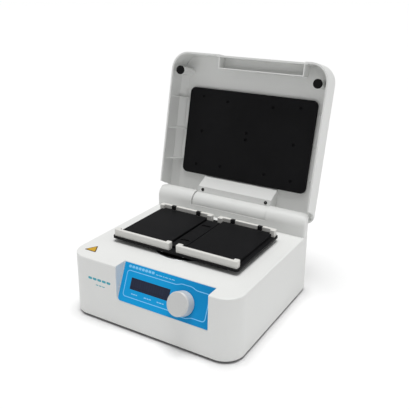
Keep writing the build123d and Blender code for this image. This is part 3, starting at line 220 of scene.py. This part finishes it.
def panel_film():
    """Blue overlay film, a little deeper in tone towards its right end."""
    material, nodes, links, shader = new_material("panel_film")
    where = object_coordinates(nodes)
    low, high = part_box("panel_overlay")
    split = nodes.new("ShaderNodeSeparateXYZ")
    links.new(where, split.inputs["Vector"])
    across = nodes.new("ShaderNodeMapRange")
    across.inputs["From Min"].default_value = low[0]
    across.inputs["From Max"].default_value = high[0]
    links.new(split.outputs["X"], across.inputs["Value"])
    links.new(
        two_colours(nodes, links, across.outputs["Result"], BLUE, BLUE_DEEP, 0.45, 1.0),
        shader.inputs["Base Color"],
    )
    shader.inputs["Specular IOR Level"].default_value = 0.25
    grain = noise(nodes, links, where, 2600, 2.0)
    links.new(between(nodes, links, grain, 0.38, 0.46), shader.inputs["Roughness"])
    add_bump(nodes, links, shader, grain, 0.00001)
    return material


def display_glass():
    """Dark violet character display behind a glossy window, with faint character cells."""
    material, nodes, links, shader = new_material("display_glass")
    cells = nodes.new("ShaderNodeTexBrick")
    cells.offset = 0.0
    cells.inputs["Scale"].default_value = 1.0
    cells.inputs["Brick Width"].default_value = 4.1 * MM
    cells.inputs["Row Height"].default_value = 7.2 * MM
    cells.inputs["Mortar Size"].default_value = 0.5 * MM
    cells.inputs["Mortar Smooth"].default_value = 0.6
    cells.inputs["Color1"].default_value = (0.026, 0.032, 0.060, 1.0)
    cells.inputs["Color2"].default_value = (0.023, 0.028, 0.054, 1.0)
    cells.inputs["Mortar"].default_value = (0.020, 0.024, 0.046, 1.0)
    where = object_coordinates(nodes)
    links.new(where, cells.inputs["Vector"])
    links.new(cells.outputs["Color"], shader.inputs["Base Color"])
    shader.inputs["Specular IOR Level"].default_value = 0.2
    haze = noise(nodes, links, where, 300, 2.0)
    links.new(between(nodes, links, haze, 0.12, 0.2), shader.inputs["Roughness"])
    return material


def circuit_board():
    """Green lacquered board with fine lighter tracks."""
    material, nodes, links, shader = new_material("circuit_board")
    tracks = nodes.new("ShaderNodeTexBrick")
    tracks.inputs["Scale"].default_value = 1.0
    tracks.inputs["Brick Width"].default_value = 9 * MM
    tracks.inputs["Row Height"].default_value = 2.4 * MM
    tracks.inputs["Mortar Size"].default_value = 0.35 * MM
    tracks.inputs["Color1"].default_value = (0.010, 0.105, 0.045, 1.0)
    tracks.inputs["Color2"].default_value = (0.014, 0.125, 0.055, 1.0)
    tracks.inputs["Mortar"].default_value = (0.030, 0.220, 0.100, 1.0)
    where = object_coordinates(nodes)
    links.new(where, tracks.inputs["Vector"])
    links.new(tracks.outputs["Color"], shader.inputs["Base Color"])
    lacquer = noise(nodes, links, where, 200)
    links.new(between(nodes, links, lacquer, 0.25, 0.4), shader.inputs["Roughness"])
    return material


def felt(name, colour):
    """Dull fibrous sheet."""
    material, nodes, links, shader = new_material(name)
    where = object_coordinates(nodes)
    fibres = noise(nodes, links, where, 1800, 6.0, 0.8)
    links.new(
        two_colours(nodes, links, fibres, shaded(colour, -0.25), shaded(colour, 0.15)),
        shader.inputs["Base Color"],
    )
    shader.inputs["Roughness"].default_value = 0.95
    shader.inputs["Sheen Weight"].default_value = 0.2
    add_bump(nodes, links, shader, fibres, 0.0004)
    return material


BLUE = (0.000, 0.340, 0.740)
BLUE_DEEP = (0.000, 0.250, 0.580)
WHITE = (0.800, 0.806, 0.792)

MATERIALS = {
    "housing": grained("white_plastic", WHITE, 0.42, 0.012, 1400, 0.00002, 0.0),
    "pan": grained("grey_plastic", (0.10, 0.10, 0.105), 0.6, 0.08, 1200, 0.00005, 0.0),
    "rubber": grained("black_rubber", (0.008, 0.008, 0.008), 0.7, 0.15, 900, 0.00004, 0.0, 0.1),
    "screw_black": grained(
        "black_oxide", (0.003, 0.003, 0.0035), 0.5, 0.2, 700, 0.00002, 0.0, 0.08
    ),
    "steel": brushed("machined_steel", (0.56, 0.57, 0.58), 0.32, (1, 1, 14)),
    "aluminium": brushed("satin_aluminium", (0.68, 0.69, 0.70), 0.34, (1, 1, 10)),
    "black_anodised": grained(
        "black_anodised", (0.008, 0.008, 0.0088), 0.55, 0.25, 1100, 0.00002, 0.0, 0.1
    ),
    "bar": grained("warm_white_coat", (0.75, 0.745, 0.715), 0.4, 0.02, 1000, 0.00003, 0.0),
    "clip": grained("clip_plastic", (0.009, 0.009, 0.010), 0.5, 0.2, 900, 0.00002, 0.0, 0.2),
    "panel": panel_film(),
    "lcd": display_glass(),
    "knob": grained("knob_plastic", (0.60, 0.605, 0.60), 0.38, 0.012, 1500, 0.00001, 0.0),
    "black_plastic": grained("black_plastic", (0.02, 0.02, 0.021), 0.5, 0.15, 1000, 0.00003, 0.0),
    "board": circuit_board(),
    "brass": brushed("turned_brass", (0.74, 0.56, 0.24), 0.3, (1, 1, 12)),
    "supply": brushed("folded_steel", (0.50, 0.51, 0.52), 0.42, (10, 1, 1)),
    "foam": felt("insulation_felt", (0.52, 0.52, 0.47)),
    "heater_mat": grained("heater_mat", (0.24, 0.06, 0.02), 0.6, 0.12, 800, 0.00005, 0.0),
    "rear_plate": grained("grey_powder_coat", (0.55, 0.56, 0.56), 0.5, 0.03, 900, 0.00006, 0.0),
}

for subpart in frame["record"]["subparts"]:
    node = frame["nodes"][subpart["node"]]
    for slot in node.material_slots:
        slot.material = MATERIALS[subpart["material_slot"]]

# ---------------------------------------------------------------- printed graphics
PRINT_T = 0.12 * MM  # thickness of a printed layer
PRINTS = {
    "light_print": grained("light_blue_print", (0.22, 0.62, 1.0), 0.4, 0.03, 1500, 0.0, 0.0),
    "white_print": grained("white_print", (0.30, 0.66, 0.95), 0.4, 0.03, 1500, 0.0, 0.0),
    "teal_print": grained("teal_print", (0.05, 0.40, 0.50), 0.45, 0.05, 1500, 0.0, 0.0),
    "amber_print": grained("amber_print", (0.60, 0.345, 0.010), 0.4, 0.05, 1500, 0.0, 0.0),
    "dark_print": grained("dark_print", (0.09, 0.05, 0.01), 0.45, 0.08, 1500, 0.0, 0.0),
}


def joint_named(name):
    return next(joint for joint in frame["joints"] if joint["name"] == name)


class Sheet:
    """A flat place on the object: x and y in millimetres on it, and its outward normal."""

    def __init__(self, origin, x_axis, normal):
        self.origin = Vector(origin)
        self.x_axis = Vector(x_axis).normalized()
        self.normal = Vector(normal).normalized()
        self.y_axis = self.normal.cross(self.x_axis)

    def point(self, x, y, lift=0.0):
        across = self.x_axis * (x * MM) + self.y_axis * (y * MM)
        return self.origin + across + self.normal * lift


def finish_piece(name, bm, material, body):
    """Turns a finished mesh into a visible piece that moves with a body."""
    bmesh.ops.recalc_face_normals(bm, faces=bm.faces)
    mesh = bpy.data.meshes.new(name)
    bm.to_mesh(mesh)
    bm.free()
    piece = bpy.data.objects.new(name, mesh)
    bpy.context.collection.objects.link(piece)
    piece.data.materials.append(material)
    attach(piece, body)


def add_prism(bm, sheet, outline, low, high):
    """Closed thin shape over a flat outline."""
    bottom = [bm.verts.new(sheet.point(x, y, low)) for x, y in outline]
    top = [bm.verts.new(sheet.point(x, y, high)) for x, y in outline]
    bm.faces.new(top)
    bm.faces.new(bottom[::-1])
    for i in range(len(outline)):
        j = (i + 1) % len(outline)
        bm.faces.new((bottom[i], bottom[j], top[j], top[i]))


def rounded_bar(x, y, width, height):
    """Outline of a short printed bar with its corners cut."""
    cut = min(width, height) * 0.25
    half_w, half_h = width / 2, height / 2
    return [
        (x - half_w + cut, y - half_h), (x + half_w - cut, y - half_h),
        (x + half_w, y - half_h + cut), (x + half_w, y + half_h - cut),
        (x + half_w - cut, y + half_h), (x - half_w + cut, y + half_h),
        (x - half_w, y + half_h - cut), (x - half_w, y - half_h + cut),
    ]


def add_ribbon(bm, sheet, path, width, lift, height):
    """Closed band of even width that follows a closed path."""
    count = len(path)
    rings = []
    for i, (x, y) in enumerate(path):
        before, after = path[i - 1], path[(i + 1) % count]
        run = (after[0] - before[0], after[1] - before[1])
        length = hypot(*run)
        side = (-run[1] / length * width / 2, run[0] / length * width / 2)
        inner, outer = (x + side[0], y + side[1]), (x - side[0], y - side[1])
        rings.append([
            bm.verts.new(sheet.point(*inner, lift)),
            bm.verts.new(sheet.point(*outer, lift)),
            bm.verts.new(sheet.point(*outer, lift + height)),
            bm.verts.new(sheet.point(*inner, lift + height)),
        ])
    for i in range(count):
        here, there = rings[i], rings[(i + 1) % count]
        for k in range(4):
            m = (k + 1) % 4
            bm.faces.new((here[k], there[k], there[m], here[m]))


CORNER_STEPS = 6


def corner(cx, cy, radius, start):
    """Quarter turn of a path, from the given angle on."""
    turns = [start + pi / 2 * k / CORNER_STEPS for k in range(CORNER_STEPS + 1)]
    return [(cx + radius * cos(turn), cy + radius * sin(turn)) for turn in turns]


def swell(x, middle, half):
    """Smooth bump from 0 to 1 with a short flat top."""
    t = max(0.0, 1.0 - abs(x - middle) / half)
    t = min(1.0, t * 1.6)
    return t * t * (3 - 2 * t)


knob_joint = joint_named("knob_turn")
KNOB_X = knob_joint["pos_m"][0] / MM
KNOB_S = 27.7
OVERLAY_T = 0.8 * MM
panel_normal = Vector(knob_joint["axis"])
PANEL = Sheet(Vector(knob_joint["pos_m"]), (1, 0, 0), panel_normal)
PANEL.origin = PANEL.point(-KNOB_X, -KNOB_S, OVERLAY_T)

FRAME_LEFT, FRAME_RIGHT = -45.5, 99.5
FRAME_LOW, FRAME_HIGH = 11.0, 51.0
FRAME_R = 4.5
FRAME_LINE = 1.2
FRAME_STEPS = 60
BUMP_H = 3.2
BUMP_HALF = 19.0

# rows of bars on the panel: left end, height on the panel, bar widths, bar height, gap
TITLE_ROW = (-45, 57.3, [5.0] * 8, 4.0, 1.0)
LEGEND_ROWS = (
    (5, 56.0, (4.5, 5.5, 3.0, 6.0, 4.0, 5.5), 1.1, 1.0),
    (-31, 17.2, (3.0, 4.0, 2.6), 1.5, 0.8),
    (-7.5, 17.2, (4.4, 3.2, 4.0), 1.5, 0.8),
    (16, 17.2, (3.4, 4.4, 3.0), 1.5, 0.8),
)


def panel_outline():
    """Outline frame of the control panel, which swells above and below the knob."""
    inner_left, inner_right = FRAME_LEFT + FRAME_R, FRAME_RIGHT - FRAME_R
    span = inner_right - inner_left
    run = [inner_left + span * i / FRAME_STEPS for i in range(1, FRAME_STEPS)]
    path = corner(inner_left, FRAME_LOW + FRAME_R, FRAME_R, pi)
    path += [(x, FRAME_LOW - BUMP_H * swell(x, KNOB_X, BUMP_HALF)) for x in run]
    path += corner(inner_right, FRAME_LOW + FRAME_R, FRAME_R, 1.5 * pi)
    path += corner(inner_right, FRAME_HIGH - FRAME_R, FRAME_R, 0)
    path += [(x, FRAME_HIGH + BUMP_H * swell(x, KNOB_X, BUMP_HALF)) for x in reversed(run)]
    path += corner(inner_left, FRAME_HIGH - FRAME_R, FRAME_R, 0.5 * pi)
    return path


def add_row_of_bars(bm, sheet, left, y, widths, height, gap):
    """A line of short bars that stands where the real panel has a legend."""
    x = left
    for width in widths:
        add_prism(bm, sheet, rounded_bar(x + width / 2, y, width, height), 0.0, PRINT_T)
        x += width + gap


def add_panel_graphics():
    bm = bmesh.new()
    add_ribbon(bm, PANEL, panel_outline(), FRAME_LINE, 0.0, PRINT_T)
    finish_piece("panel_outline_print", bm, PRINTS["light_print"], "housing")
    bm = bmesh.new()
    add_row_of_bars(bm, PANEL, *TITLE_ROW)
    finish_piece("panel_title_bars", bm, PRINTS["light_print"], "housing")
    bm = bmesh.new()
    for row in LEGEND_ROWS:
        add_row_of_bars(bm, PANEL, *row)
    finish_piece("panel_legend_bars", bm, PRINTS["white_print"], "housing")


SIGN_X = -123.3  # middle of the sign on the deck
SIGN_BACK = 29.2  # behind the housing's front face
SIGN_R = 13.4
SIGN_FACE = 0.76  # size of the amber face, as a share of the border
SIGN_CUT = 0.07  # share of each side cut off at a corner
RING_PROUD = 0.8 * MM  # opening ring above the deck
SIGN_LIFT = 0.02 * MM


def add_deck_sign():
    """Plain amber triangle with a dark border on the deck, with no symbol."""
    deck_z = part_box("opening_ring")[1][2] - RING_PROUD
    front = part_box("upper_housing")[0][1]
    spot = (SIGN_X * MM, front + SIGN_BACK * MM, deck_z + SIGN_LIFT)
    sheet = Sheet(spot, (1, 0, 0), (0, 0, 1))
    turns = [radians(degrees) for degrees in (90, 210, 330)]
    corners = [(SIGN_R * cos(turn), SIGN_R * sin(turn)) for turn in turns]
    for name, scale, lift, colour in (
        ("deck_sign_border", 1.0, 0.0, "dark_print"),
        ("deck_sign_face", SIGN_FACE, PRINT_T, "amber_print"),
    ):
        bm = bmesh.new()
        outline = []
        for i, (x, y) in enumerate(corners):
            before, after = corners[i - 1], corners[(i + 1) % 3]
            for other in (before, after):
                near = [(1 - SIGN_CUT) * own + SIGN_CUT * far for own, far in zip((x, y), other)]
                outline.append((near[0] * scale, near[1] * scale))
        add_prism(bm, sheet, outline, lift, lift + PRINT_T)
        finish_piece(name, bm, PRINTS[colour], "housing")


MARK_X = -110.0
MARK_Z = 67.5
FRONT_DRAFT = radians(0.57)


def add_front_mark():
    """Plain two-line mark of short bars on the front face."""
    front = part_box("upper_housing")[0][1]
    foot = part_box("upper_housing")[0][2]
    outward = (0, -cos(FRONT_DRAFT), sin(FRONT_DRAFT))
    sheet = Sheet((0, front, foot), (1, 0, 0), outward)
    bm = bmesh.new()
    add_row_of_bars(bm, sheet, MARK_X, MARK_Z, [7.4] * 5, 4.0, 1.65)
    add_row_of_bars(bm, sheet, MARK_X + 14.5, MARK_Z - 9.5, [4.9] * 3, 1.5, 1.4)
    finish_piece("front_mark_bars", bm, PRINTS["teal_print"], "housing")


add_camera()
add_studio()
add_floor()
add_panel_graphics()
add_deck_sign()
add_front_mark()
